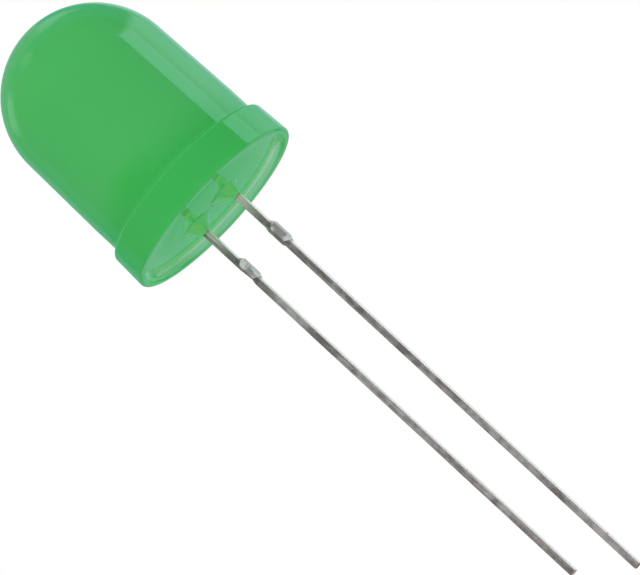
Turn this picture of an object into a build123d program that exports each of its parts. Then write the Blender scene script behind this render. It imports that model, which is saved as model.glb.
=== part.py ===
from build123d import *
from math import cos, radians, sin, tan
import os

# A large round LED with two leads for a plated-hole board.
# Millimetres. Z = 0 is the plane that the flange's rim seats on. The lens points along +Z and the leads
# along -Z. The leads stand on the X axis, the anode at +X and the cathode at -X.

os.makedirs("parts", exist_ok=True)

# Lens, cast dome down, so its walls widen towards the leads, but for the straight land at the lens's foot
OVERALL_HEIGHT = 13.5  # seat to the top of the dome
LENS_DIAMETER = 10.0  # at the lens's foot, where it meets the flange
LENS_LAND = 1.6  # straight stretch above the flange that a holder or panel hole grips
LENS_DRAFT = 1.4  # degrees a side, above the land
FLANGE_DIAMETER = 10.94  # at the rim
FLANGE_DRAFT = 2.7  # degrees a side
FLANGE_THICKNESS = 2.05
SHOULDER_BREAK = 0.1  # height of the broken edge round the flange's top
RIM_BREAK = 0.14
SEAT_WIDTH = 0.2  # flat ring of the rim that touches the board

# Underside, the free surface of the epoxy: a dish with a curved wall and a crowned floor, and a mound
# around each lead
DISH_DEPTH = 0.4  # seat to the floor's edge, at the foot of the wall
DISH_CROWN = 0.2  # the middle of the floor stands this much nearer to the seat
DISH_WALL_WIDTH = 0.45
MOUND_FOOT_RADIUS = 1.07  # at the depth of the floor's edge
MOUND_TIP_RADIUS = 0.34
MOUND_DROP = 0.5  # seat to the tip of a mound
ANODE_MOUND_LEAN = 0.43  # how far the foot of each mound lies to the cathode's side of its lead
CATHODE_MOUND_LEAN = 0.08

# Leads, stamped from one strip
LEAD_PITCH = 2.54
LEAD_WIDTH = 0.42
STRIP_THICKNESS = 0.38
LEAD_EDGE_ROUND = 0.12
LEAD_END_ROUND = 0.04
ANODE_REACH = 28.95  # seat to the anode's end
CATHODE_REACH = 26.65

# What the shear left of the bar that tied the leads together
TIE_DROP = 3.43  # seat to the middle of the stub
TIE_ROOT_LENGTH = 2.0
TIE_TIP_LENGTH = 1.05
TIE_TIP_THICKNESS = 0.1
TIE_PROUD = 0.18  # on the side away from the cathode's outer edge
TIE_PROUD_BEHIND = 0.07
NICK_DEPTH = 0.09  # torn out of the cathode's outer edge, opposite its stub
NICK_RUN_IN = 1.0
NICK_RUN_OUT = 0.3

# Stamped heads inside the lens
CUP_RIM_HEIGHT = 6.2  # seat to the rim of the cup
CUP_MOUTH_DIAMETER = 1.0
CUP_FLOOR_DIAMETER = 0.58
CUP_DEPTH = 0.4
CUP_WALL = 0.14
CUP_BASE = 0.3
ANVIL_HEIGHT = 2.6  # neck to the rim of the cup
HEAD_SHOULDER = 0.28  # step from the lead's outer edge to the head's
POST_RISE = 0.12  # the post's top stands above the cup's rim
POST_HEIGHT = 2.2
POST_GAP = 0.38  # between the cup and the post

# Chip, its bond and its wire
CHIP_WIDTH = 0.3
CHIP_THICKNESS = 0.22
DIE_BOND_MARGIN = 0.03  # beyond the chip's corners
DIE_BOND_THICKNESS = 0.03
WIRE_DIAMETER = 0.05
WIRE_LOOP_RISE = 0.5  # over the post's top
WIRE_LANDING = 0.18  # straight run down onto the post
WIRE_KINK = 0.14  # across each bend of the loop
BALL_DIAMETER = 0.12
BALL_HEIGHT = 0.03

# Heights and places worked out from the sizes above
lens_foot_radius = LENS_DIAMETER / 2
land_top_z = FLANGE_THICKNESS + LENS_LAND
rim_radius = FLANGE_DIAMETER / 2
seat_outer_radius = rim_radius - RIM_BREAK
seat_inner_radius = seat_outer_radius - SEAT_WIDTH
dish_floor_radius = seat_inner_radius - DISH_WALL_WIDTH
anode_x = LEAD_PITCH / 2
cathode_x = -LEAD_PITCH / 2
cup_outer_radius = CUP_MOUTH_DIAMETER / 2 + CUP_WALL
cup_floor_z = CUP_RIM_HEIGHT - CUP_DEPTH
chip_top_z = cup_floor_z + DIE_BOND_THICKNESS + CHIP_THICKNESS
post_top_z = CUP_RIM_HEIGHT + POST_RISE


def dome_radius():
    """Radius of the dome that meets the drafted wall at a tangent and ends at the overall height."""
    draft = radians(LENS_DRAFT)
    wall_at_tip = lens_foot_radius - (OVERALL_HEIGHT - land_top_z) * tan(draft)
    return wall_at_tip * cos(draft) / (1 - sin(draft))


def flange_radius(height):
    """Radius of the flange's drafted side at a height over the seat."""
    return rim_radius - height * tan(radians(FLANGE_DRAFT))


def lens_profile():
    """Half section of the lens, flange and dish, as a closed face beside the Z axis."""
    draft = radians(LENS_DRAFT)
    radius = dome_radius()
    centre_z = OVERALL_HEIGHT - radius
    spring = (radius * cos(draft), centre_z + radius * sin(draft))
    halfway = radians(45 + LENS_DRAFT / 2)
    crown = (radius * cos(halfway), centre_z + radius * sin(halfway))
    shoulder_z = FLANGE_THICKNESS - SHOULDER_BREAK
    middle = (0, DISH_DEPTH - DISH_CROWN)
    outline = (
        Line(middle, (dish_floor_radius, DISH_DEPTH))
        + EllipticalCenterArc((dish_floor_radius, 0), DISH_WALL_WIDTH, DISH_DEPTH, arc_size=90)
        + Polyline(
            (seat_inner_radius, 0),
            (seat_outer_radius, 0),
            (flange_radius(RIM_BREAK), RIM_BREAK),
            (flange_radius(shoulder_z), shoulder_z),
            (flange_radius(FLANGE_THICKNESS) - SHOULDER_BREAK, FLANGE_THICKNESS),
            (lens_foot_radius, FLANGE_THICKNESS),
            (lens_foot_radius, land_top_z),
            spring,
        )
        + ThreePointArc(spring, crown, (0, OVERALL_HEIGHT))
        + Line((0, OVERALL_HEIGHT), middle)
    )
    return Plane.XZ * make_face(outline)


def mound(lead_x, lean):
    """Epoxy drawn up around a lead: a low cone from the dish's floor to its tip below the seat."""
    foot = Plane((lead_x - lean, 0, DISH_DEPTH)) * Circle(MOUND_FOOT_RADIUS)
    tip = Plane((lead_x, 0, -MOUND_DROP)) * Circle(MOUND_TIP_RADIUS)
    return loft([foot, tip], ruled=True)


def bar(lead_x, low_z, high_z):
    """Square wire of a lead, with its long edges and its free end rounded."""
    section = RectangleRounded(LEAD_WIDTH, STRIP_THICKNESS, LEAD_EDGE_ROUND)
    blank = extrude(Plane((lead_x, 0, low_z)) * section, high_z - low_z)
    end = blank.faces().sort_by(Axis.Z)[0]
    return fillet(end.edges(), LEAD_END_ROUND)


def plate(points, thickness):
    """Flat stamping with its outline given in X and Z, centred on the XZ plane."""
    outline = Polyline(*points, close=True)
    return extrude(Plane.XZ * make_face(outline), thickness / 2, both=True)


def tie_stub(lead_x, side, proud):
    """Pinched-off remains of the tie bar on one side of a lead: a wedge that narrows to its sheared tip."""
    edge = lead_x + side * LEAD_WIDTH / 2
    root = Plane((edge - side * LEAD_EDGE_ROUND, 0, -TIE_DROP), x_dir=(0, 1, 0), z_dir=(side, 0, 0))
    tip = Plane((edge + side * proud, 0, -TIE_DROP), x_dir=(0, 1, 0), z_dir=(side, 0, 0))
    sections = [
        root * Rectangle(STRIP_THICKNESS, TIE_ROOT_LENGTH),
        tip * Rectangle(TIE_TIP_THICKNESS, TIE_TIP_LENGTH),
    ]
    return loft(sections, ruled=True)


def nick():
    """Notch that the shear tore out of the cathode's outer edge, deepest near its lower end."""
    edge = cathode_x - LEAD_WIDTH / 2
    deepest_z = -TIE_DROP - NICK_RUN_IN / 2
    points = [
        (edge, deepest_z + NICK_RUN_IN),
        (edge + NICK_DEPTH, deepest_z),
        (edge, deepest_z - NICK_RUN_OUT),
        (edge - NICK_DEPTH, deepest_z),
    ]
    return plate(points, 2 * STRIP_THICKNESS)


def cathode():
    """Cathode lead: bar, anvil and the coined cup that holds the chip."""
    inner = cathode_x + LEAD_WIDTH / 2
    outer = cathode_x - LEAD_WIDTH / 2
    neck_z = CUP_RIM_HEIGHT - ANVIL_HEIGHT
    cup_height = CUP_DEPTH + CUP_BASE
    anvil = plate(
        [
            (inner, neck_z),
            (outer, neck_z),
            (outer - HEAD_SHOULDER, neck_z + HEAD_SHOULDER),
            (outer - HEAD_SHOULDER, CUP_RIM_HEIGHT),
            (0, CUP_RIM_HEIGHT),
            (0, CUP_RIM_HEIGHT - cup_height),
            (-cup_outer_radius / 2, CUP_RIM_HEIGHT - 2 * cup_height),
        ],
        STRIP_THICKNESS,
    )
    cup = extrude(Plane((0, 0, CUP_RIM_HEIGHT - cup_height)) * Circle(cup_outer_radius), cup_height)
    reflector = loft(
        [
            Plane((0, 0, cup_floor_z)) * Circle(CUP_FLOOR_DIAMETER / 2),
            Plane((0, 0, CUP_RIM_HEIGHT)) * Circle(CUP_MOUTH_DIAMETER / 2),
        ],
        ruled=True,
    )
    wire = bar(cathode_x, -CATHODE_REACH, neck_z)
    return wire + anvil + cup + tie_stub(cathode_x, 1, TIE_PROUD) - reflector - nick()


def anode():
    """Anode lead: bar and the post whose top takes the bond wire."""
    inner = anode_x - LEAD_WIDTH / 2
    outer = anode_x + LEAD_WIDTH / 2
    neck_z = post_top_z - POST_HEIGHT
    post_inner = cup_outer_radius + POST_GAP
    post = plate(
        [
            (outer, neck_z),
            (inner, neck_z),
            (post_inner, neck_z + POST_HEIGHT / 2),
            (post_inner, post_top_z),
            (outer + HEAD_SHOULDER, post_top_z),
            (outer + HEAD_SHOULDER, neck_z + HEAD_SHOULDER),
        ],
        STRIP_THICKNESS,
    )
    wire = bar(anode_x, -ANODE_REACH, neck_z)
    return wire + post + tie_stub(anode_x, 1, TIE_PROUD) + tie_stub(anode_x, -1, TIE_PROUD_BEHIND)


def chip():
    """Square chip standing on its bond in the middle of the cup."""
    base = Plane((0, 0, cup_floor_z + DIE_BOND_THICKNESS)) * Rectangle(CHIP_WIDTH, CHIP_WIDTH)
    return extrude(base, CHIP_THICKNESS)


def die_bond():
    """Round pad of conductive paste between the cup's floor and the chip."""
    radius = CHIP_WIDTH / 2**0.5 + DIE_BOND_MARGIN
    return extrude(Plane((0, 0, cup_floor_z)) * Circle(radius), DIE_BOND_THICKNESS)


def bond_wire():
    """Fine wire in the kinked loop of a bonding tool, from a ball on the chip to the post's top."""
    top_z = post_top_z + WIRE_LOOP_RISE
    path = Polyline(
        (0, 0, chip_top_z),
        (0, 0, top_z - WIRE_KINK),
        (WIRE_KINK, 0, top_z),
        (anode_x - WIRE_KINK, 0, post_top_z + WIRE_LANDING + WIRE_KINK),
        (anode_x, 0, post_top_z + WIRE_LANDING),
        (anode_x, 0, post_top_z),
    )
    section = Plane((0, 0, chip_top_z)) * Circle(WIRE_DIAMETER / 2)
    wire = sweep(section, path=path, transition=Transition.RIGHT)
    ball = extrude(Plane((0, 0, chip_top_z)) * Circle(BALL_DIAMETER / 2), BALL_HEIGHT)
    return wire + ball


def lens(embedded):
    """Epoxy lens with its mounds, cast around the embedded pieces."""
    body = revolve(lens_profile(), Axis.Z)
    body += mound(anode_x, ANODE_MOUND_LEAN)
    body += mound(cathode_x, CATHODE_MOUND_LEAN)
    for piece in embedded:
        body -= piece
    return body


inner_pieces = {
    "anode_lead": anode(),
    "cathode_lead": cathode(),
    "led_chip": chip(),
    "die_bond": die_bond(),
    "bond_wire": bond_wire(),
}
for name, shape in inner_pieces.items():
    export_step(shape, f"parts/{name}.step")
export_step(lens(inner_pieces.values()), "parts/epoxy_lens.step")
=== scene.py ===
"""Looks of a large round LED in green diffused epoxy with two long stamped leads.

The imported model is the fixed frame. The lens is modelled anew round it with its true edge rounds, and the
leads and the pieces cast into the lens are dressed. All sizes here are metres unless a name says mm.
"""
import logging
from dataclasses import dataclass, field
from enum import Enum
from math import cos, pi, radians, sin, tan

import bpy
from mathutils import Matrix, Vector


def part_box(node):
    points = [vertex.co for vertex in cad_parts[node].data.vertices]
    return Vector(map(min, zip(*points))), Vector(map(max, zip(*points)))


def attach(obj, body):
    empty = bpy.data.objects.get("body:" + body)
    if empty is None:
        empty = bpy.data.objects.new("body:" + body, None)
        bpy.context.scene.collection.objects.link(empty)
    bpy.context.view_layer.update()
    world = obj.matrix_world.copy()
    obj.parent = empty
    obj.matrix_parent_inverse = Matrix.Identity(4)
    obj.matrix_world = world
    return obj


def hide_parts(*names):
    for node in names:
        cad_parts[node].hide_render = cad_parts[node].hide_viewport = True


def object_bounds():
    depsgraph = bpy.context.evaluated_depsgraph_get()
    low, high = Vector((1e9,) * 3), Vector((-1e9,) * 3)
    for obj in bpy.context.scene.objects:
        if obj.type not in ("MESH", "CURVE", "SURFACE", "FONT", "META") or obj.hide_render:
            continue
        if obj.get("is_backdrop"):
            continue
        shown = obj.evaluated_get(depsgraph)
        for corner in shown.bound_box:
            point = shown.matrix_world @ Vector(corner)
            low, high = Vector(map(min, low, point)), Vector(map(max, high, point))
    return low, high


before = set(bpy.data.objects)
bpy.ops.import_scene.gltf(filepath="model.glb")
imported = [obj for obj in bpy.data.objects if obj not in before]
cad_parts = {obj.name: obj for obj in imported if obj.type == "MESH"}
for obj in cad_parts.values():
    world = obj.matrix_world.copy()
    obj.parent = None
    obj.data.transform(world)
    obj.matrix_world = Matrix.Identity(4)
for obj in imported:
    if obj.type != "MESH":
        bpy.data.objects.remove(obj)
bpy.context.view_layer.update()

MM = 0.001
BODY = "root"
WHITE = (1.0, 1.0, 1.0)
BLACK = (0.0, 0.0, 0.0)
Colour = tuple[float, float, float]
Place = tuple[float, float, float]
Point = tuple[float, float]
# Where a soft step is 0 and where it reaches 1.
Span = tuple[float, float]
# Middle of a soft band, half its width, and the width of each soft edge.
Stretch = tuple[float, float, float]
Feed = bpy.types.NodeSocket | float | tuple

log = logging.getLogger("led")


class Slot(Enum):
    """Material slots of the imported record."""

    EPOXY = "green_epoxy"
    TIN = "tinned_steel"
    CRYSTAL = "chip_crystal"
    PASTE = "silver_paste"
    GOLD = "gold_wire"


class Side(Enum):
    """Which way along X a lead stands from the lens axis."""

    ANODE = 1
    CATHODE = -1


# Shader writing


class Graph:
    """Writes shader nodes into one node tree."""

    def __init__(self, tree: bpy.types.NodeTree) -> None:
        """Starts from an empty tree.

        Args:
            tree: The tree that the nodes go into.
        """
        self.tree = tree
        tree.nodes.clear()

    def add(
        self, kind: str, feeds: dict[int | str, Feed] | None = None, **settings: object
    ) -> bpy.types.Node:
        """Adds one node.

        Args:
            kind: The node's type name.
            feeds: A constant or another node's output for each named or numbered input.
            settings: Properties of the node itself.

        Returns:
            The new node.
        """
        node = self.tree.nodes.new(kind)
        for name, value in settings.items():
            setattr(node, name, value)
        self.feed(node, feeds or {})
        return node

    def feed(self, node: bpy.types.Node, feeds: dict[int | str, Feed]) -> None:
        """Sets or links a node's inputs.

        Args:
            node: The node.
            feeds: A constant or another node's output for each named or numbered input.
        """
        for key, value in feeds.items():
            if isinstance(value, bpy.types.NodeSocket):
                self.tree.links.new(value, node.inputs[key])
            else:
                node.inputs[key].default_value = value

    def math(self, operation: str, *values: Feed) -> bpy.types.NodeSocket:
        """Adds a Math node.

        Args:
            operation: Its operation.
            values: Its inputs in order.

        Returns:
            Its output.
        """
        return self.add("ShaderNodeMath", dict(enumerate(values)), operation=operation).outputs[0]

    def product(self, *factors: Feed) -> bpy.types.NodeSocket:
        """Multiplies any number of masks.

        Args:
            factors: The masks.

        Returns:
            Their product.
        """
        total = factors[0]
        for factor in factors[1:]:
            total = self.math("MULTIPLY", total, factor)
        return total

    def spread(self, *offsets: Feed) -> bpy.types.NodeSocket:
        """Gives the length of an offset from its two or three parts.

        Args:
            offsets: The parts, one for each axis.

        Returns:
            The length.
        """
        squares = [self.math("POWER", offset, 2.0) for offset in offsets]
        total = squares[0]
        for square in squares[1:]:
            total = self.math("ADD", total, square)
        return self.math("SQRT", total)

    def band(self, value: Feed, base: float, stretch: Stretch) -> bpy.types.NodeSocket:
        """Adds a soft-edged band that is 1 inside a stretch of values.

        Args:
            value: What is compared.
            base: What the stretch's middle is counted from.
            stretch: Middle, half width and width of each soft edge, which lies around the band's edge.

        Returns:
            The band, from 0 to 1.
        """
        middle, half, soft = stretch
        off = self.math("ABSOLUTE", self.math("SUBTRACT", value, base + middle))
        return self.ramp(off, half + soft / 2, half - soft / 2)

    def ramp(self, value: Feed, start: float, end: float) -> bpy.types.NodeSocket:
        """Adds a smooth step from 0 at start to 1 at end, where end may be the smaller.

        Args:
            value: What is compared.
            start: Where the step leaves 0.
            end: Where it reaches 1.

        Returns:
            The step, from 0 to 1.
        """
        feeds = {"Value": value, "From Min": start, "From Max": end}
        node = self.add("ShaderNodeMapRange", feeds, interpolation_type="SMOOTHSTEP")
        return node.outputs["Result"]

    def mix(self, mask: Feed, low: Feed, high: Feed) -> bpy.types.NodeSocket:
        """Adds a colour mix.

        Args:
            mask: 0 gives low and 1 gives high.
            low: First colour.
            high: Second colour.

        Returns:
            The mixed colour.
        """
        low = opaque(low) if isinstance(low, tuple) else low
        high = opaque(high) if isinstance(high, tuple) else high
        node = self.add("ShaderNodeMix", {0: mask, 6: low, 7: high}, data_type="RGBA")
        return node.outputs[2]

    def mix_number(self, mask: Feed, low: Feed, high: Feed) -> bpy.types.NodeSocket:
        """Gives low where the mask is 0 and high where it is 1."""
        return self.add("ShaderNodeMix", {0: mask, 2: low, 3: high}, data_type="FLOAT").outputs[0]

    def noise(self, place: Feed, scale: float, detail: float = 3.0) -> bpy.types.NodeSocket:
        """Adds a noise texture.

        Args:
            place: Coordinates in metres.
            scale: Features for each metre.
            detail: Octaves.

        Returns:
            Its value, around a half.
        """
        feeds = {"Vector": place, "Scale": scale, "Detail": detail}
        return self.add("ShaderNodeTexNoise", feeds).outputs[0]

    def bump(self, height: Feed, distance: float) -> bpy.types.NodeSocket:
        """Gives the normal of a surface that a height raises by up to a distance."""
        feeds = {"Height": height, "Distance": distance, "Strength": 1.0}
        return self.add("ShaderNodeBump", feeds).outputs[0]

    def place(self) -> bpy.types.NodeSocket:
        """Gives the point's own coordinates on the piece, in metres."""
        return self.add("ShaderNodeTexCoord").outputs["Object"]

    def group(self, tree: bpy.types.NodeTree, feeds: dict[int | str, Feed]) -> bpy.types.Node:
        """Adds a shared effect.

        Args:
            tree: The effect's node group.
            feeds: Values for its inputs.

        Returns:
            The group's node.
        """
        node = self.tree.nodes.new("ShaderNodeGroup")
        node.node_tree = tree
        self.feed(node, feeds)
        return node


def opaque(colour: Colour) -> tuple[float, float, float, float]:
    """Gives a colour with full alpha."""
    return (*colour[:3], 1.0)


def shared_effect(
    name: str, inputs: dict[str, float], outputs: list[str]
) -> tuple[Graph, bpy.types.Node, bpy.types.Node]:
    """Starts a node group that several materials use.

    Args:
        name: The group's name.
        inputs: Its number inputs with their usual values.
        outputs: Its outputs, all numbers.

    Returns:
        The group's graph, its input node and its output node.
    """
    tree = bpy.data.node_groups.new(name, "ShaderNodeTree")
    graph = Graph(tree)
    tree.interface.new_socket("Place", in_out="INPUT", socket_type="NodeSocketVector")
    for label, value in inputs.items():
        socket = tree.interface.new_socket(label, in_out="INPUT", socket_type="NodeSocketFloat")
        socket.default_value = value
    for label in outputs:
        tree.interface.new_socket(label, in_out="OUTPUT", socket_type="NodeSocketFloat")
    return graph, graph.add("NodeGroupInput"), graph.add("NodeGroupOutput")


def grain_effect() -> bpy.types.NodeTree:
    """Builds the fine uneven grain of a plated, sawn or cured surface.

    Returns:
        A group with a Tone mask and a Height for bump.
    """
    fine_share = 0.5
    scales = {"Coarse": 900.0, "Fine": 9000.0}
    graph, source, result = shared_effect("surface_grain", scales, ["Tone", "Height"])
    coarse, fine = (
        graph.add("ShaderNodeTexNoise", {"Vector": source.outputs["Place"], "Scale": scale}).outputs[0]
        for scale in (source.outputs["Coarse"], source.outputs["Fine"])
    )
    height = graph.math("MULTIPLY_ADD", fine, fine_share, coarse)
    graph.tree.links.new(coarse, result.inputs["Tone"])
    graph.tree.links.new(height, result.inputs["Height"])
    return graph.tree


def streak_effect() -> bpy.types.NodeTree:
    """Builds the long streaks that a rolled strip or a drawn wire keeps along Z.

    Returns:
        A group with a Tone mask.
    """
    graph, source, result = shared_effect("drawn_streaks", {"Across": 9000.0, "Along": 350.0}, ["Tone"])
    scale = graph.add(
        "ShaderNodeCombineXYZ",
        {"X": source.outputs["Across"], "Y": source.outputs["Across"], "Z": source.outputs["Along"]},
    )
    stretched = graph.add(
        "ShaderNodeVectorMath", {0: source.outputs["Place"], 1: scale.outputs[0]}, operation="MULTIPLY"
    )
    streaks = graph.noise(stretched.outputs[0], 1.0, detail=2.0)
    graph.tree.links.new(streaks, result.inputs["Tone"])
    return graph.tree


def new_material(name: str) -> tuple[bpy.types.Material, Graph]:
    """Makes an empty node material.

    Args:
        name: The material's name.

    Returns:
        The material and its graph.
    """
    material = bpy.data.materials.new(name)
    material.use_nodes = True
    return material, Graph(material.node_tree)


def close_material(graph: Graph, shader: bpy.types.Node) -> None:
    """Wires the last shader to the output."""
    graph.add("ShaderNodeOutputMaterial", {"Surface": shader.outputs[0]})


# Finishes


@dataclass
class LensSpot:
    """What the epoxy knows of the point that it shades.

    Reach is its distance from the lens axis. Low masks what lies no higher than the dish's floor, and
    under masks the dished underside.
    """

    graph: Graph
    lens: "Lens"
    place: Feed
    axes: bpy.types.NodeOutputs
    reach: Feed
    low: Feed
    under: Feed


@dataclass(frozen=True)
class EpoxyFinish:
    """Green diffused epoxy, glossy from the mould, with the lead frame's heads shading it from inside.

    A share says how much of a tint covers what is under it.
    """

    body: Colour = (0.066, 0.425, 0.105)
    # Painted warm light on the -X side of the body, fading out towards +X.
    warm: Colour = (0.078, 0.428, 0.097)
    warm_span: Span = (2.5 * MM, -3.5 * MM)
    deep: Colour = (0.044, 0.408, 0.080)
    deep_span: Span = (4.6 * MM, 2.2 * MM)
    drift_scale: float = 160.0
    drift_span: Span = (0.3, 0.7)
    drift_share: float = 0.3
    shaded: Colour = (0.044, 0.412, 0.070)
    heads: Point = (-0.9 * MM, 2.9 * MM)
    heads_reach: float = 2.8 * MM
    heads_flatness: float = 1.8
    # Painted reflection of the white surroundings on the dish's outer floor, and a painted highlight along
    # the flange's shoulder.
    pale: Colour = (0.155, 0.470, 0.205)
    floor_sheen_span: Span = (3.2 * MM, 4.4 * MM)
    floor_sheen_share: float = 0.65
    shoulder_highlight_height: Stretch = (-0.05 * MM, 0.05 * MM, 0.03 * MM)
    shoulder_highlight_span: Span = (0.15 * MM, 0.20 * MM)
    shoulder_highlight_share: float = 0.2
    # Green over the mound, which is also the painted shade where the cast-in lead shows through the epoxy.
    mound: Colour = (0.080, 0.435, 0.055)
    mound_share: float = 0.5
    mound_soft: float = 0.12 * MM
    lead_span: Span = (0.30 * MM, 0.22 * MM)
    lead_shade_share: float = 0.8
    # Painted shade in the crease round each mound's foot.
    foot_shade: Colour = (0.020, 0.330, 0.050)
    foot_ring: Stretch = (0.0, 0.03 * MM, 0.05 * MM)
    foot_shade_share: float = 0.6
    # Painted yellow glints of the cast-in lead, seen through the mound in stripes across it.
    rib_glint: Colour = (0.150, 0.450, 0.045)
    rib_pitch: float = 0.11 * MM
    rib_crest: Span = (-0.2, 1.0)
    rib_heights: Stretch = (-0.02 * MM, 0.25 * MM, 0.10 * MM)
    rib_glint_share: float = 0.6
    # Painted highlight in a ring where the dish's floor curves up into its wall.
    meniscus_highlight: Colour = (0.230, 0.470, 0.200)
    meniscus_ring: Stretch = (0.10 * MM, 0.04 * MM, 0.10 * MM)
    meniscus_highlight_share: float = 0.8
    flow_line: Colour = (0.030, 0.330, 0.090)
    flow_middle: Point = (4.45 * MM, 1.1 * MM)
    flow_radii: tuple[float, ...] = (0.40 * MM, 0.72 * MM)
    flow_ring: Stretch = (0.0, 0.02 * MM, 0.10 * MM)
    flow_stretch: float = 0.4
    flow_scale: float = 900.0
    flow_wander: float = 0.5 * MM
    flow_share: float = 0.55
    inner_light: Colour = (0.016, 0.105, 0.028)
    rim_soft: float = 0.06 * MM
    wall_light: Colour = (0.085, 0.165, 0.125)
    wall_ring: Stretch = (0.20 * MM, 0.30 * MM, 0.20 * MM)
    wall_span: Span = (4.4 * MM, 2.8 * MM)
    hollow_light: Colour = (0.165, 0.200, 0.185)
    hollow_ring: Stretch = (0.10 * MM, 0.09 * MM, 0.08 * MM)
    step_top: Span = (0.35 * MM, 0.08 * MM)
    step_bottom: Span = (0.0, 0.05 * MM)
    step_out: Span = (0.06 * MM, 0.03 * MM)
    step_share: float = 0.6
    specular_tint: Colour = (0.55, 0.70, 1.0)
    roughness: float = 0.06
    ior: float = 1.52
    glow: float = 0.2
    glow_depth: Colour = (0.4, 1.0, 0.5)
    glow_scale: float = 1.0 * MM
    wave_scale: float = 300.0
    wave_height: float = 0.006 * MM
    margin: float = 0.05 * MM

    def build(self, lens: "Lens") -> bpy.types.Material:
        """Makes the material.

        Args:
            lens: The lens, for where its dish, mounds and leads lie.

        Returns:
            The material.
        """
        material, graph = new_material("green_epoxy")
        place = graph.place()
        axes = graph.add("ShaderNodeSeparateXYZ", {0: place}).outputs
        reach = graph.spread(axes["X"], axes["Y"])
        low = graph.ramp(axes["Z"], lens.dish_depth + self.margin, lens.dish_depth)
        under = graph.product(low, graph.ramp(reach, lens.seat_inner, lens.seat_inner - self.margin))
        spot = LensSpot(graph, lens, place, axes, reach, low, under)
        colour = self._painted_sheen(spot, self._body(spot))
        for side in Side:
            colour = self._mound(spot, side, colour)
        colour = self._dish_lines(spot, colour)
        wave = graph.noise(place, self.wave_scale, detail=1.0)
        shader = graph.add(
            "ShaderNodeBsdfPrincipled",
            {
                "Base Color": colour,
                "Roughness": self.roughness,
                "IOR": self.ior,
                "Specular Tint": opaque(self.specular_tint),
                "Emission Color": self._inner_light(spot),
                "Emission Strength": 1.0,
                "Subsurface Weight": self.glow,
                "Subsurface Radius": self.glow_depth,
                "Subsurface Scale": self.glow_scale,
                "Normal": graph.bump(wave, self.wave_height),
            },
        )
        close_material(graph, shader)
        return material

    def _body(self, spot: LensSpot) -> Feed:
        """Gives the body's green with painted warm light towards -X, deeper at the flange, and with painted
        shade where the heads of the leads shade it.

        Args:
            spot: The shaded point.

        Returns:
            The colour.
        """
        graph, axes = spot.graph, spot.axes
        drift = graph.ramp(graph.noise(spot.place, self.drift_scale), *self.drift_span)
        # Painted warm light, full towards -X.
        warm_lit_side = graph.product(graph.ramp(axes["X"], *self.warm_span), drift)
        colour = graph.mix(warm_lit_side, self.body, self.warm)
        uneven = graph.math("MULTIPLY_ADD", drift, self.drift_share, 1.0 - self.drift_share)
        flange = graph.product(graph.ramp(axes["Z"], *self.deep_span), uneven)
        colour = graph.mix(flange, colour, self.deep)
        off_x = graph.math("SUBTRACT", axes["X"], self.heads[0])
        off_z = graph.math("SUBTRACT", axes["Z"], self.heads[1])
        off_heads = graph.spread(off_x, graph.math("MULTIPLY", off_z, self.heads_flatness))
        near_heads = graph.ramp(off_heads, self.heads_reach, 0.0)
        return graph.mix(near_heads, colour, self.shaded)

    def _painted_sheen(self, spot: LensSpot, colour: Feed) -> Feed:
        """Paints a pale reflection of the white surroundings on the outer part of the dish's floor, and a
        painted highlight in a thin line round the flange's shoulder.

        Args:
            spot: The shaded point.
            colour: The colour so far.

        Returns:
            The colour with the painted reflection and highlight.
        """
        graph, lens = spot.graph, spot.lens
        # Painted reflection on the outer floor of the dish.
        ring = graph.ramp(spot.reach, *self.floor_sheen_span)
        colour = graph.mix(graph.product(ring, spot.under, self.floor_sheen_share), colour, self.pale)
        # Painted highlight round the flange's shoulder.
        inner, outer = (lens.foot_radius + out for out in self.shoulder_highlight_span)
        height = graph.band(spot.axes["Z"], lens.flange_thickness, self.shoulder_highlight_height)
        shoulder = graph.product(height, graph.ramp(spot.reach, inner, outer), self.shoulder_highlight_share)
        return graph.mix(shoulder, colour, self.pale)

    def _mound(self, spot: LensSpot, side: Side, colour: Feed) -> Feed:
        """Adds one mound: its tint, painted shade in the crease at its foot, painted shade where the lead
        cast into it shows through, and painted glints across that lead.

        Args:
            spot: The shaded point.
            side: Which lead's mound.
            colour: The colour so far.

        Returns:
            The colour with the mound.
        """
        graph, lens, axes, under = spot.graph, spot.lens, spot.axes, spot.under
        lead_x = side.value * lens.lead_x
        foot_x = lead_x - lens.mound_lean[side]
        foot = graph.spread(graph.math("SUBTRACT", axes["X"], foot_x), axes["Y"])
        inside = graph.product(under, graph.ramp(foot, lens.mound_foot, lens.mound_tip))
        colour = graph.mix(graph.product(inside, self.mound_share), colour, self.mound)
        # Painted shade in the crease at the mound's foot.
        line = graph.product(under, graph.band(foot, lens.mound_foot, self.foot_ring))
        colour = graph.mix(graph.product(line, self.foot_shade_share), colour, self.foot_shade)
        # Painted shade of the cast-in lead seen through the mound.
        aside = graph.math("ABSOLUTE", graph.math("SUBTRACT", axes["X"], lead_x))
        on_lead = graph.ramp(aside, *self.lead_span)
        whole = graph.ramp(foot, lens.mound_foot, lens.mound_foot - self.mound_soft)
        cast_in_shade = graph.product(under, on_lead, whole)
        colour = graph.mix(graph.product(cast_in_shade, self.lead_shade_share), colour, self.mound)
        # Painted glints on the cast-in lead, in stripes across it.
        waves = graph.math("SINE", graph.math("MULTIPLY", axes["Z"], 2 * pi / self.rib_pitch))
        glint_heights = graph.band(axes["Z"], 0.0, self.rib_heights)
        ribs = graph.product(graph.ramp(waves, *self.rib_crest), on_lead, glint_heights)
        return graph.mix(graph.product(ribs, cast_in_shade, self.rib_glint_share), colour, self.rib_glint)

    def _dish_lines(self, spot: LensSpot, colour: Feed) -> Feed:
        """Adds a painted highlight in a ring at the foot of the dish's wall, and the flow marks beside the
        anode.

        Args:
            spot: The shaded point.
            colour: The colour so far.

        Returns:
            The colour with the lines.
        """
        graph, axes, under = spot.graph, spot.axes, spot.under
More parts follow.
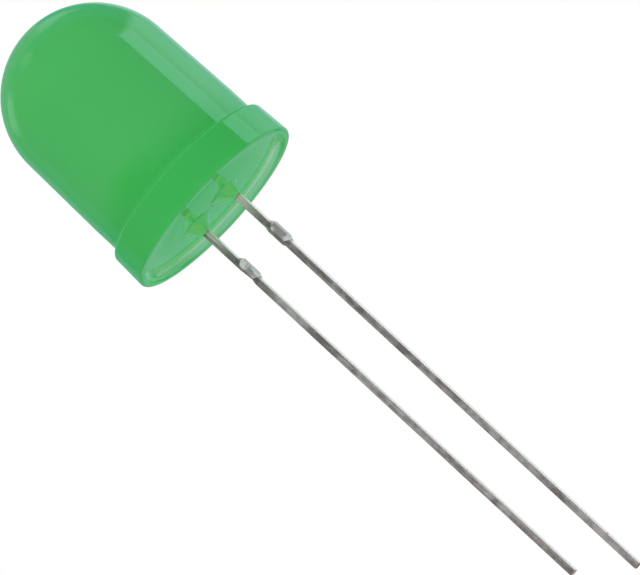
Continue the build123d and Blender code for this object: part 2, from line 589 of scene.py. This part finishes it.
        # Painted highlight at the foot of the dish's wall.
        ring = graph.band(spot.reach, spot.lens.dish_floor, self.meniscus_ring)
        colour = graph.mix(graph.product(ring, under, self.meniscus_highlight_share), colour, self.meniscus_highlight)
        off_x = graph.math("SUBTRACT", axes["X"], self.flow_middle[0])
        off_y = graph.math("SUBTRACT", axes["Y"], self.flow_middle[1])
        drawn_out = graph.math("MULTIPLY", off_y, self.flow_stretch)
        waviness = graph.noise(spot.place, self.flow_scale, detail=2.0)
        wander = graph.math("MULTIPLY", waviness, self.flow_wander)
        away = graph.math("ADD", graph.spread(off_x, drawn_out), wander)
        for radius in self.flow_radii:
            mark = graph.band(away, radius + self.flow_wander / 2, self.flow_ring)
            colour = graph.mix(graph.product(mark, under, self.flow_share), colour, self.flow_line)
        return colour

    def _inner_light(self, spot: LensSpot) -> Feed:
        """Gives the faint light that the epoxy carries to the dish, its wall and the lens's foot.

        Args:
            spot: The shaded point.

        Returns:
            The light's colour.
        """
        graph, lens, axes, reach = spot.graph, spot.lens, spot.axes, spot.reach
        dish = graph.product(spot.low, graph.ramp(reach, lens.rim_edge, lens.rim_edge - self.rim_soft))
        middle = graph.ramp(graph.math("ABSOLUTE", axes["X"]), *self.wall_span)
        wall = graph.product(dish, middle, graph.band(reach, lens.dish_floor, self.wall_ring))
        hollow = graph.product(dish, middle, graph.band(reach, lens.dish_floor, self.hollow_ring))
        light = graph.mix(hollow, graph.mix(wall, self.inner_light, self.wall_light), self.hollow_light)
        above = graph.math("SUBTRACT", axes["Z"], lens.flange_thickness)
        start, end = (lens.foot_radius + out for out in self.step_out)
        step = graph.product(
            graph.ramp(above, *self.step_top),
            graph.ramp(above, *self.step_bottom),
            graph.ramp(reach, start, end),
            self.step_share,
        )
        return graph.mix(graph.math("MAXIMUM", dish, step), BLACK, light)


@dataclass
class LeadSpot:
    """What the tin plate knows of the point that it shades.

    From_tie is how far along the lead it lies from the middle of the stub. Grained and streaked are the
    tones of the shared effects.
    """

    graph: Graph
    leads: "Leads"
    place: Feed
    axes: bpy.types.NodeOutputs
    from_tie: Feed
    grained: Feed
    streaked: Feed


@dataclass(frozen=True)
class TinFinish:
    """Dull tin plate on stamped steel: worn patches, rolled streaks, and bare places where it was sheared.

    A share says how much of a tint covers what is under it.
    """

    light: Colour = (0.42, 0.385, 0.38)
    dark: Colour = (0.15, 0.128, 0.125)
    tone_span: Span = (1.15, 1.85)
    coarse: float = 1800.0
    fine: float = 12000.0
    across: float = 9000.0
    along: float = 420.0
    patch_scale: float = 260.0
    scorch_patches: Span = (0.35, 0.60)
    scorch_share: float = 0.7
    fluxed: Colour = (0.66, 0.63, 0.56)
    flux_streaks: Span = (0.3, 0.6)
    sheared: Colour = (0.68, 0.66, 0.65)
    sheared_dark: Colour = (0.30, 0.285, 0.28)
    score_span: Span = (0.36, 0.52)
    sheared_end: Colour = (0.10, 0.095, 0.09)
    end_share: float = 0.75
    # Painted highlight on the faces towards +X, which are also made more metallic and smoother.
    painted_highlight: Colour = (0.86, 0.73, 0.75)
    highlight_metallic: float = 0.5
    highlight_roughness: float = 0.3
    stain: Colour = (0.30, 0.14, 0.08)
    stain_heights: Stretch = (0.0, 0.04 * MM, 0.04 * MM)
    cut: Colour = (0.42, 0.30, 0.25)
    cut_heights: Stretch = (0.0, 0.05 * MM, 0.06 * MM)
    tip_share: float = 0.7
    metallic: float = 0.25
    roughness: float = 0.42
    streak_roughness: float = 0.2
    pit_height: float = 0.003 * MM
    mirrored: Colour = (0.05, 0.15, 0.03)
    mirrored_foot: Colour = (0.60, 0.60, 0.10)
    mirrored_heights: Stretch = (-0.07 * MM, 0.06 * MM, 0.02 * MM)

    def build(
        self, leads: "Leads", grain: bpy.types.NodeTree, streaks: bpy.types.NodeTree
    ) -> bpy.types.Material:
        """Makes the material.

        Args:
            leads: The leads, for where they were sheared and where they leave the epoxy.
            grain: The shared grain.
            streaks: The shared streaks.

        Returns:
            The material.
        """
        material, graph = new_material("tinned_steel")
        place = graph.place()
        axes = graph.add("ShaderNodeSeparateXYZ", {0: place}).outputs
        grained = graph.group(grain, {"Place": place, "Coarse": self.coarse, "Fine": self.fine}).outputs
        scales = {"Across": self.across, "Along": self.along}
        drawn = graph.group(streaks, {"Place": place, **scales}).outputs
        from_tie = graph.math("ABSOLUTE", graph.math("ADD", axes["Z"], leads.tie_drop))
        spot = LeadSpot(graph, leads, place, axes, from_tie, grained["Tone"], drawn["Tone"])
        colour = self._stubs(spot, self._plate(spot))
        # Painted highlight on the faces towards +X.
        highlight_mask = self._highlight_faces(spot)
        colour = self._tips(spot, graph.mix(highlight_mask, colour, self.painted_highlight))
        least = self.roughness - self.streak_roughness / 2
        dull = graph.math("MULTIPLY_ADD", drawn["Tone"], self.streak_roughness, least)
        shader = graph.add(
            "ShaderNodeBsdfPrincipled",
            {
                "Base Color": colour,
                "Metallic": graph.mix_number(highlight_mask, self.metallic, self.highlight_metallic),
                "Roughness": graph.mix_number(highlight_mask, dull, self.highlight_roughness),
                "Normal": graph.bump(grained["Height"], self.pit_height),
            },
        )
        close_material(graph, self._mirrored(spot, shader))
        return material

    def _plate(self, spot: LeadSpot) -> Feed:
        """Gives the plate's tone, scorched round the stubs and pale with flux next to the epoxy.

        Args:
            spot: The shaded point.

        Returns:
            The colour.
        """
        graph, leads = spot.graph, spot.leads
        patches = graph.noise(spot.place, self.patch_scale, detail=2.0)
        tone = graph.math("ADD", graph.math("ADD", spot.grained, spot.streaked), patches)
        colour = graph.mix(graph.ramp(tone, *self.tone_span), self.dark, self.light)
        worn = graph.ramp(patches, *self.scorch_patches)
        scorched = graph.product(graph.ramp(spot.from_tie, *leads.scorch_span), worn, self.scorch_share)
        colour = graph.mix(scorched, colour, self.dark)
        near_exit = graph.ramp(spot.axes["Z"], leads.flux_to, leads.exit_z)
        flux = graph.product(near_exit, graph.ramp(spot.streaked, *self.flux_streaks))
        return graph.mix(flux, colour, self.fluxed)

    def _stubs(self, spot: LeadSpot, colour: Feed) -> Feed:
        """Adds the scored bare facet of each stub and the dark slanted ends above and below it.

        Args:
            spot: The shaded point.
            colour: The colour so far.

        Returns:
            The colour with the stubs.
        """
        graph, leads, from_tie = spot.graph, spot.leads, spot.from_tie
        bare = graph.mix(graph.ramp(spot.grained, *self.score_span), self.sheared_dark, self.sheared)
        tall = graph.ramp(from_tie, *leads.stub_span)
        for side in Side:
            off = graph.math("SUBTRACT", spot.axes["X"], side.value * leads.lead_x)
            near = graph.math("LESS_THAN", graph.math("ABSOLUTE", off), leads.lead_x)
            on_stub = graph.product(near, graph.ramp(off, *leads.stub_side), tall)
            slanted = graph.math("MULTIPLY_ADD", off, -leads.facet_slant, from_tie)
            facet = graph.product(on_stub, graph.ramp(slanted, *leads.facet_span))
            end = graph.product(on_stub, graph.math("SUBTRACT", 1.0, facet), self.end_share)
            colour = graph.mix(facet, graph.mix(end, colour, self.sheared_end), bare)
        return colour

    def _highlight_faces(self, spot: LeadSpot) -> Feed:
        """Masks the faces towards +X, on the strip and on the stubs, where the highlight is painted.

        Args:
            spot: The shaded point.

        Returns:
            The mask.
        """
        graph, leads = spot.graph, spot.leads
        highlight_mask: Feed = 0.0
        for side in Side:
            off = graph.math("SUBTRACT", spot.axes["X"], side.value * leads.lead_x)
            clear = graph.ramp(spot.from_tie, *leads.clear_of_stub)
            on_strip = graph.product(graph.band(off, 0.0, leads.strip_face), clear)
            on_stub = graph.band(off, 0.0, leads.stub_face)
            highlight_mask = graph.math("MAXIMUM", highlight_mask, graph.math("MAXIMUM", on_strip, on_stub))
        return highlight_mask

    def _tips(self, spot: LeadSpot, colour: Feed) -> Feed:
        """Adds the brown stain where a lead leaves the epoxy and the bare steel at its cut end.

        Args:
            spot: The shaded point.
            colour: The colour so far.

        Returns:
            The colour with both.
        """
        graph, leads, height = spot.graph, spot.leads, spot.axes["Z"]
        stain = graph.band(height, leads.exit_z, self.stain_heights)
        colour = graph.mix(graph.product(stain, self.tip_share), colour, self.stain)
        for end_z in leads.end_z.values():
            cut = graph.band(height, end_z, self.cut_heights)
            colour = graph.mix(graph.product(cut, self.tip_share), colour, self.cut)
        return colour

    def _mirrored(self, spot: LeadSpot, shader: bpy.types.Node) -> bpy.types.Node:
        """Shows the leads green where the epoxy mirrors them, with a yellow glint next to it.

        Args:
            spot: The shaded point.
            shader: The leads as seen directly.

        Returns:
            The shader for both.
        """
        graph = spot.graph
        glint_heights = graph.band(spot.axes["Z"], spot.leads.exit_z, self.mirrored_heights)
        green = graph.mix(glint_heights, self.mirrored, self.mirrored_foot)
        image = graph.add("ShaderNodeEmission", {"Color": green, "Strength": 1.0})
        glossy = graph.add("ShaderNodeLightPath").outputs["Is Glossy Ray"]
        return graph.add("ShaderNodeMixShader", {0: glossy, 1: shader.outputs[0], 2: image.outputs[0]})


@dataclass(frozen=True)
class PlainFinish:
    """A finish for the small pieces cast into the lens: two tones of grain, and a roughness."""

    name: str
    light: Colour
    dark: Colour
    roughness: float
    metallic: float
    coarse: float = 4000.0
    fine: float = 30000.0
    tone_span: Span = (0.35, 0.65)
    pit_height: float = 0.002 * MM

    def build(self, grain: bpy.types.NodeTree) -> bpy.types.Material:
        """Makes the material.

        Args:
            grain: The shared grain.

        Returns:
            The material.
        """
        material, graph = new_material(self.name)
        scales = {"Coarse": self.coarse, "Fine": self.fine}
        grained = graph.group(grain, {"Place": graph.place(), **scales}).outputs
        colour = graph.mix(graph.ramp(grained["Tone"], *self.tone_span), self.dark, self.light)
        shader = graph.add(
            "ShaderNodeBsdfPrincipled",
            {
                "Base Color": colour,
                "Metallic": self.metallic,
                "Roughness": self.roughness,
                "Normal": graph.bump(grained["Height"], self.pit_height),
            },
        )
        close_material(graph, shader)
        return material


# Modelling by hand


def choose(piece: bpy.types.Object) -> None:
    """Selects one piece alone and makes it the active one."""
    bpy.ops.object.select_all(action="DESELECT")
    piece.select_set(True)
    bpy.context.view_layer.objects.active = piece


def begin_edit(piece: bpy.types.Object) -> None:
    """Goes into edit mode on one piece with all of it selected."""
    choose(piece)
    bpy.ops.object.mode_set(mode="EDIT")
    bpy.ops.mesh.select_all(action="SELECT")


def end_edit() -> None:
    """Leaves edit mode."""
    bpy.ops.object.mode_set(mode="OBJECT")


def smooth(piece: bpy.types.Object, degrees: float) -> None:
    """Shades a piece smooth but for edges sharper than an angle."""
    choose(piece)
    bpy.ops.object.shade_smooth_by_angle(angle=radians(degrees))


def dress(piece: bpy.types.Object, material: bpy.types.Material) -> None:
    """Gives a piece its one material.

    Args:
        piece: A new piece or a carried-over node.
        material: The material.
    """
    piece.data.materials.clear()
    piece.data.materials.append(material)


def arc(centre: Point, radii: Point, start: float, end: float, steps: int) -> list[Point]:
    """Points of an elliptical arc in a profile.

    Args:
        centre: Its centre, as radius and height.
        radii: Its two semi-axes.
        start: First angle in degrees, from the outward direction towards up.
        end: Last angle.
        steps: How many stretches it has.

    Returns:
        The points from start to end.
    """
    angles = [radians(start + (end - start) * i / steps) for i in range(steps + 1)]
    return [(centre[0] + radii[0] * cos(a), centre[1] + radii[1] * sin(a)) for a in angles]


# The object


@dataclass
class Lens:
    """Epoxy lens with its flange, dished underside and the mounds round the leads.

    Hold is how far from a round its face gets one more ring, so that the face stays flat in the shading.
    """

    flange_thickness: float = 2.05 * MM
    foot_radius: float = 5.0 * MM
    land: float = 1.6 * MM
    wall_draft: float = 1.4
    flange_draft: float = 2.7
    shoulder_round: float = 0.15 * MM
    foot_round: float = 0.08 * MM
    rim_round: float = 0.14 * MM
    rim_edge: float = 5.36 * MM
    seat_inner: float = 5.13 * MM
    dish_floor: float = 4.68 * MM
    dish_depth: float = 0.4 * MM
    dish_crown: float = 0.2 * MM
    floor_rings: tuple[tuple[float, int], ...] = ((2.8 * MM, 56), (4.68 * MM, 12))
    lead_x: float = 1.27 * MM
    mound_foot: float = 0.95 * MM
    mound_tip: float = 0.22 * MM
    mound_shear: float = 1.0 * MM
    mound_skirt: float = 0.38
    mound_lean: dict[Side, float] = field(
        default_factory=lambda: {Side.ANODE: 0.36 * MM, Side.CATHODE: 0.04 * MM}
    )
    hold: float = 0.03 * MM
    wall_steps: int = 16
    rim_steps: int = 8
    shoulder_steps: int = 7
    foot_steps: int = 5
    dome_steps: int = 56
    spin_steps: int = 192
    weld: float = 0.001 * MM
    crease: float = 40.0

    def build(self, material: bpy.types.Material) -> bpy.types.Object:
        """Models the lens.

        Args:
            material: The epoxy.

        Returns:
            The finished piece.
        """
        low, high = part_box("epoxy_lens")
        lens = self._spin(self._floor() + self._sides(high.x, high.z))
        for side in Side:
            self._draw_up(lens, side, low.z)
        smooth(lens, self.crease)
        dress(lens, material)
        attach(lens, BODY)
        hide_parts("epoxy_lens")
        return lens

    def _floor(self) -> list[Point]:
        """Works out the crowned floor of the dish, with fine rings where the mounds will be.

        Returns:
            Points as radius and height, from the middle to the foot of the wall.
        """
        bend = (self.dish_floor**2 + self.dish_crown**2) / (2 * self.dish_crown)
        middle = self.dish_depth - self.dish_crown
        points = []
        start = 0.0
        for end, count in self.floor_rings:
            points += [start + (end - start) * i / count for i in range(count)]
            start = end
        return [(radius, middle + bend - (bend**2 - radius**2) ** 0.5) for radius in points]

    def _sides(self, rim: float, top: float) -> list[Point]:
        """Works out the rest of the half section, from the dish's wall round to the dome's top.

        Args:
            rim: Radius of the flange at its widest.
            top: Height of the dome.

        Returns:
            Points as radius and height.
        """
        draft = radians(self.wall_draft)
        land_top = self.flange_thickness + self.land
        dome = (self.foot_radius - (top - land_top) * tan(draft)) * cos(draft) / (1 - sin(draft))
        slope, stretch = tan(radians(self.flange_draft)), 1 / cos(radians(self.flange_draft))
        rim_middle = (rim - self.rim_round, self.rim_round)
        rim_radii = (self.rim_round, self.rim_round)
        shoulder_z = self.flange_thickness - self.shoulder_round
        low_hold, high_hold = self.rim_round + self.hold, shoulder_z - self.hold
        face = rim_middle[0] + self.rim_round * (stretch + slope)
        shoulder_middle = (face - shoulder_z * slope - self.shoulder_round * stretch, shoulder_z)
        shoulder = (self.shoulder_round, self.shoulder_round)
        foot_middle = (self.foot_radius + self.foot_round, self.flange_thickness + self.foot_round)
        wall = (self.seat_inner - self.dish_floor, self.dish_depth)
        foot_hold = self.flange_thickness + self.foot_round + self.hold
        return [
            *arc((self.dish_floor, 0.0), wall, 90, 0, self.wall_steps),
            *arc(rim_middle, rim_radii, -90, self.flange_draft, self.rim_steps),
            (face - low_hold * slope, low_hold),
            (face - high_hold * slope, high_hold),
            *arc(shoulder_middle, shoulder, self.flange_draft, 90, self.shoulder_steps),
            *arc(foot_middle, (self.foot_round, self.foot_round), 270, 180, self.foot_steps),
            (self.foot_radius, foot_hold),
            (self.foot_radius, land_top),
            *arc((0.0, top - dome), (dome, dome), self.wall_draft, 90, self.dome_steps)[:-1],
            (0.0, top),
        ]

    def _spin(self, profile: list[Point]) -> bpy.types.Object:
        """Extrudes one vertex along the profile and spins it into a closed body.

        Args:
            profile: Points as radius and height.

        Returns:
            The body.
        """
        bpy.ops.object.select_all(action="DESELECT")
        bpy.ops.mesh.primitive_plane_add(size=MM, location=(0, 0, 0))
        lens = bpy.context.object
        lens.name = "lens_body"
        begin_edit(lens)
        bpy.ops.mesh.merge(type="CENTER")
        last = Vector((0.0, 0.0, 0.0))
        for index, (radius, height) in enumerate(profile):
            here = Vector((radius, 0.0, height))
            if index == 0:
                bpy.ops.transform.translate(value=here - last)
            else:
                bpy.ops.mesh.extrude_vertices_move(TRANSFORM_OT_translate={"value": here - last})
            last = here
        bpy.ops.mesh.select_all(action="SELECT")
        bpy.ops.mesh.spin(steps=self.spin_steps, angle=2 * pi, center=(0, 0, 0), axis=(0, 0, 1))
        bpy.ops.mesh.select_all(action="SELECT")
        bpy.ops.mesh.remove_doubles(threshold=self.weld)
        bpy.ops.mesh.normals_make_consistent(inside=False)
        end_edit()
        return lens

    def _draw_up(self, lens: bpy.types.Object, side: Side, tip_z: float) -> None:
        """Draws the floor down into a mound with hollow flanks, and leans its tip over to the lead.

        Args:
            lens: The lens.
            side: Which lead.
            tip_z: Height of the mound's tip, under the seat.
        """
        foot = Vector((side.value * self.lead_x - self.mound_lean[side], 0.0))
        tip = {
            vertex.index
            for vertex in lens.data.vertices
            if (vertex.co.xy - foot).length < self.mound_tip and vertex.co.z < self.dish_depth
        }
        reach = self.mound_foot - self.mound_tip
        drop = max(lens.data.vertices[index].co.z for index in tip) - tip_z
        self._pull(lens, tip, Vector((0, 0, -self.mound_skirt * drop)), reach, "ROOT")
        rest = max(lens.data.vertices[index].co.z for index in tip) - tip_z
        self._pull(lens, tip, Vector((0, 0, -rest)), reach, "SHARP")
        self._pull(lens, tip, Vector((self.mound_lean[side], 0, 0)), self.mound_shear, "SMOOTH")
        lowest = min(vertex.co.z for vertex in lens.data.vertices)
        log.info("%s mound: %d points, down to %.3f mm", side.name.lower(), len(tip), lowest / MM)

    def _pull(
        self, lens: bpy.types.Object, chosen: set[int], way: Vector, reach: float, falloff: str
    ) -> None:
        """Moves some points of the lens, and drags what lies within reach along.

        Args:
            lens: The lens.
            chosen: The points.
            way: How far they go along X, Y and Z.
            reach: How far the drag goes.
            falloff: Form of the drag.
        """
        begin_edit(lens)
        bpy.ops.mesh.select_mode(type="VERT")
        bpy.ops.mesh.select_all(action="DESELECT")
        end_edit()
        for vertex in lens.data.vertices:
            vertex.select = vertex.index in chosen
        bpy.ops.object.mode_set(mode="EDIT")
        bpy.ops.transform.translate(
            value=way,
            use_proportional_edit=True,
            proportional_edit_falloff=falloff,
            proportional_size=reach,
        )
        end_edit()


@dataclass
class Leads:
    """The two stamped leads, each with the stub of the tie bar that once joined them.

    Spans and stretches on the stubs are counted from the lead's middle and from the middle of its stub.
    """

    lead_x: float = 1.27 * MM
    tie_drop: float = 3.43 * MM
    exit_z: float = -0.5 * MM
    flux_to: float = -2.2 * MM
    scorch_span: Span = (2.6 * MM, 1.2 * MM)
    stub_span: Span = (0.86 * MM, 0.80 * MM)
    stub_side: Span = (-0.12 * MM, -0.02 * MM)
    # Where the painted highlight lies on a stub's face towards +X.
    stub_face: Stretch = (0.36 * MM, 0.06 * MM, 0.03 * MM)
    facet_span: Span = (0.56 * MM, 0.48 * MM)
    facet_slant: float = 0.7
    # Where the painted highlight lies on the strip's face towards +X, and how far clear of the stub it
    # starts.
    strip_face: Stretch = (0.20 * MM, 0.05 * MM, 0.04 * MM)
    clear_of_stub: Span = (0.6 * MM, 0.8 * MM)
    end_z: dict[str, float] = field(
        default_factory=lambda: {name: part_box(name)[0].z for name in ("anode_lead", "cathode_lead")}
    )

    def build(self, material: bpy.types.Material) -> list[bpy.types.Object]:
        """Dresses both leads.

        Args:
            material: The tin plate.

        Returns:
            The leads.
        """
        leads = [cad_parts[name] for name in self.end_z]
        for lead in leads:
            dress(lead, material)
        return leads


@dataclass
class Insides:
    """The chip, its bond and its wire, cast into the lens."""

    chip: PlainFinish = PlainFinish(
        "chip_crystal", light=(0.55, 0.47, 0.24), dark=(0.38, 0.30, 0.13), roughness=0.45, metallic=0.0
    )
    bond: PlainFinish = PlainFinish(
        "silver_paste", light=(0.68, 0.68, 0.66), dark=(0.45, 0.45, 0.44), roughness=0.55, metallic=0.6
    )
    wire: PlainFinish = PlainFinish(
        "gold_wire", light=(0.95, 0.74, 0.33), dark=(0.80, 0.58, 0.22), roughness=0.25, metallic=1.0
    )

    def build(self, grain: bpy.types.NodeTree) -> list[bpy.types.Object]:
        """Dresses the three nodes.

        Args:
            grain: The shared grain.

        Returns:
            The nodes.
        """
        nodes = []
        for name, finish, slot in (
            ("led_chip", self.chip, Slot.CRYSTAL),
            ("die_bond", self.bond, Slot.PASTE),
            ("bond_wire", self.wire, Slot.GOLD),
        ):
            nodes.append(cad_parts[name])
            dress(nodes[-1], finish.build(grain))
        return nodes


# The studio


@dataclass(frozen=True)
class Panel:
    """A soft box far off, given in degrees by the part of the surroundings that it fills.

    Azimuth 0 lies along -Y and 90 along +X. The strength runs evenly from start, at the low-azimuth side,
    to end. Edge and rise are the widths of the soft sides and of the soft top and bottom.
    """

    azimuth: float
    elevation: float
    half_width: float
    half_height: float
    start: float
    end: float
    edge: float = 3.0
    rise: float = 3.0
    tint: Colour = WHITE


@dataclass
class Studio:
    """Floor, surroundings and lamps."""

    floor_size: float = 120.0 * MM
    floor_colour: Colour = (0.80, 0.80, 0.80)
    floor_lift: float = 0.35
    ambient: float = 0.87
    room: Colour = (0.05, 0.20, 0.17)
    panels: tuple[Panel, ...] = (
        Panel(106.2, 1.0, 12.2, 20.0, 2.20, 1.75, edge=2.8, rise=6.0, tint=(0.84, 1.0, 1.0)),
        Panel(144.5, 2.0, 25.3, 20.5, 1.35, 0.15, edge=1.2, rise=7.0, tint=(0.86, 1.0, 1.0)),
        Panel(176.0, 5.0, 10.0, 22.0, 0.40, 0.40, edge=6.0, rise=7.0),
        Panel(192.3, 20.0, 66.0, 62.0, 0.28, 0.20, edge=10.0, rise=10.0, tint=(0.15, 1.0, 0.75)),
        Panel(-151.0, 25.0, 21.0, 45.0, 0.20, 0.15, edge=4.0, tint=(1.0, 0.4, 0.55)),
        Panel(-88.0, 35.0, 30.0, 50.0, 0.09, 0.09, edge=6.0, tint=(1.0, 0.25, 0.45)),
        Panel(174.0, 55.0, 12.0, 12.0, 0.50, 0.50, edge=12.0, rise=12.0, tint=(1.0, 0.85, 0.95)),
        Panel(-105.0, 74.0, 30.0, 6.0, 0.35, 0.35, edge=8.0, rise=8.0),
        Panel(-116.0, 36.0, 11.0, 10.0, 0.55, 0.55, edge=8.0, rise=8.0),
    )
    key_place: Place = (-0.16, -0.36, 0.08)
    key_size: float = 0.25
    key_power: float = 0.22
    fill_place: Place = (0.12, -0.28, 0.08)
    fill_size: float = 0.30
    fill_power: float = 0.20

    def build(self) -> None:
        """Builds the floor, the surroundings and the lamps."""
        self._floor()
        self._world()
        self._lamp("key_lamp", self.key_place, self.key_size, self.key_power)
        self._lamp("fill_lamp", self.fill_place, self.fill_size, self.fill_power)

    def _floor(self) -> None:
        """Lays the pale floor under the longer lead's tip; from below it isn't seen."""
        low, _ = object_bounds()
        bpy.ops.object.select_all(action="DESELECT")
        bpy.ops.mesh.primitive_plane_add(size=self.floor_size, location=(0, 0, low.z))
        floor = bpy.context.object
        floor.name = "floor"
        material, graph = new_material("pale_floor")
        path = graph.add("ShaderNodeLightPath").outputs
        mirrored = graph.math("MAXIMUM", path["Is Glossy Ray"], path["Is Transmission Ray"])
        seen = graph.math("MAXIMUM", path["Is Camera Ray"], mirrored)
        paint = graph.add("ShaderNodeBsdfDiffuse", {"Color": opaque(self.floor_colour)})
        lift = graph.add("ShaderNodeEmission", {"Strength": graph.math("MULTIPLY", seen, self.floor_lift)})
        top = graph.add("ShaderNodeAddShader", {0: paint.outputs[0], 1: lift.outputs[0]})
        clear = graph.add("ShaderNodeBsdfTransparent")
        under = graph.add("ShaderNodeNewGeometry").outputs["Backfacing"]
        whole = graph.add("ShaderNodeMixShader", {0: under, 1: top.outputs[0], 2: clear.outputs[0]})
        close_material(graph, whole)
        floor.data.materials.append(material)
        floor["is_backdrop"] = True

    def _world(self) -> None:
        """Paints the surroundings: white where seen, soft boxes where mirrored, else an even light."""
        world = bpy.data.worlds.new("studio")
        bpy.context.scene.world = world
        world.use_nodes = True
        graph = Graph(world.node_tree)
        path = graph.add("ShaderNodeLightPath").outputs
        white = graph.add("ShaderNodeBackground", {"Strength": 1.0, "Color": opaque(WHITE)})
        even = graph.add("ShaderNodeBackground", {"Strength": self.ambient, "Color": opaque(WHITE)})
        boxes = graph.add("ShaderNodeBackground", {"Strength": 1.0, "Color": self._mirrored(graph)})
        mirrored = graph.add(
            "ShaderNodeMixShader", {0: path["Is Glossy Ray"], 1: even.outputs[0], 2: boxes.outputs[0]}
        )
        seen = graph.math("MAXIMUM", path["Is Camera Ray"], path["Is Transmission Ray"])
        whole = graph.add("ShaderNodeMixShader", {0: seen, 1: mirrored.outputs[0], 2: white.outputs[0]})
        graph.add("ShaderNodeOutputWorld", {"Surface": whole.outputs[0]})

    def _mirrored(self, graph: Graph) -> bpy.types.NodeSocket:
        """Adds up the room and the soft boxes that a glossy surface mirrors.

        Args:
            graph: The world's graph.

        Returns:
            Their colour by direction.
        """
        direction = graph.add("ShaderNodeTexCoord").outputs["Generated"]
        height = graph.add("ShaderNodeSeparateXYZ", {0: direction}).outputs["Z"]
        elevation = graph.math("DEGREES", graph.math("ARCSINE", height))
        total: Feed = opaque(self.room)
        for panel in self.panels:
            turn = radians(panel.azimuth)
            facing, across = (sin(turn), -cos(turn), 0.0), (cos(turn), sin(turn), 0.0)
            ahead = graph.add("ShaderNodeVectorMath", {0: direction, 1: facing}, operation="DOT_PRODUCT")
            aside = graph.add("ShaderNodeVectorMath", {0: direction, 1: across}, operation="DOT_PRODUCT")
            radian = graph.math("ARCTAN2", aside.outputs["Value"], ahead.outputs["Value"])
            around = graph.math("DEGREES", radian)
            wide = graph.band(around, 0.0, (0.0, panel.half_width, panel.edge))
            high = graph.band(elevation, panel.elevation, (0.0, panel.half_height, panel.rise))
            feeds = {
                "Value": around,
                "From Min": -panel.half_width,
                "From Max": panel.half_width,
                "To Min": panel.start,
                "To Max": panel.end,
            }
            strength = graph.add("ShaderNodeMapRange", feeds).outputs["Result"]
            feeds = {0: graph.product(wide, high, strength), 6: total, 7: opaque(panel.tint)}
            total = graph.add(
                "ShaderNodeMix", feeds, data_type="RGBA", blend_type="ADD", clamp_factor=False
            ).outputs[2]
        return total

    def _lamp(self, name: str, place: Place, size: float, power: float) -> None:
        """Hangs a soft square lamp that points at the lens.

        Args:
            name: The lamp's name.
            place: Where it hangs.
            size: Its side.
            power: Its power in watts.
        """
        light = bpy.data.lights.new(name, "AREA")
        light.size = size
        light.energy = power
        lamp = bpy.data.objects.new(name, light)
        bpy.context.scene.collection.objects.link(lamp)
        lamp.location = place
        lamp.rotation_euler = (Vector((0, 0, 0)) - Vector(place)).to_track_quat("-Z", "Y").to_euler()
        lamp.visible_camera = False
        lamp.visible_glossy = False


@dataclass(frozen=True)
class Viewpoint:
    """The photograph's camera: below the flange, a little to the anode's side, and rolled."""

    azimuth: float = 12.3
    elevation: float = -13.0
    roll: float = 47.25
    distance: float = 1.000
    pixels_per_metre: float = 19520.0
    seat_pixel: Point = (215.6, 208.4)
    picture: Point = (640.0, 575.0)
    sensor_mm: float = 36.0
    clip: tuple[float, float] = (0.1, 10.0)

    def build(self) -> bpy.types.Object:
        """Sets the camera up.

        Returns:
            The camera.
        """
        around, above, turn = radians(self.azimuth), radians(self.elevation), radians(self.roll)
        back = Vector((sin(around) * cos(above), -cos(around) * cos(above), sin(above)))
        level = Vector((cos(around), sin(around), 0.0))
        upright = back.cross(level)
        right = cos(turn) * level - sin(turn) * upright
        upward = sin(turn) * level + cos(turn) * upright
        aside = (self.picture[0] / 2 - self.seat_pixel[0]) / self.pixels_per_metre
        below = (self.picture[1] / 2 - self.seat_pixel[1]) / self.pixels_per_metre
        aim = right * aside - upward * below
        place = back * self.distance
        ahead = (aim - place).normalized()
        side = ahead.cross(upward).normalized()
        top = side.cross(ahead)
        camera = bpy.data.objects.new("camera", bpy.data.cameras.new("camera"))
        bpy.context.scene.collection.objects.link(camera)
        camera.matrix_world = Matrix.Translation(place) @ Matrix((side, top, -ahead)).transposed().to_4x4()
        camera.data.sensor_width = self.sensor_mm
        camera.data.lens = self.pixels_per_metre * self.distance * self.sensor_mm / self.picture[0]
        camera.data.clip_start = self.distance * self.clip[0]
        camera.data.clip_end = self.distance * self.clip[1]
        bpy.context.scene.camera = camera
        return camera


def report(piece: bpy.types.Object) -> None:
    """Logs one finished piece with its size in millimetres."""
    sides = [round(side / MM, 2) for side in piece.dimensions]
    log.info("%s: %d faces, %s mm", piece.name, len(piece.data.polygons), sides)


def main() -> None:
    """Builds the LED's looks, its studio and its camera."""
    logging.basicConfig(level=logging.INFO, format="%(name)s: %(message)s")
    grain, streaks = grain_effect(), streak_effect()
    lens, leads = Lens(), Leads()
    pieces = [lens.build(EpoxyFinish().build(lens))]
    pieces += leads.build(TinFinish().build(leads, grain, streaks))
    pieces += Insides().build(grain)
    for piece in pieces:
        report(piece)
    Viewpoint().build()
    Studio().build()
    bpy.context.scene.view_settings.view_transform = "Standard"


if __name__ == "__main__":
    main()
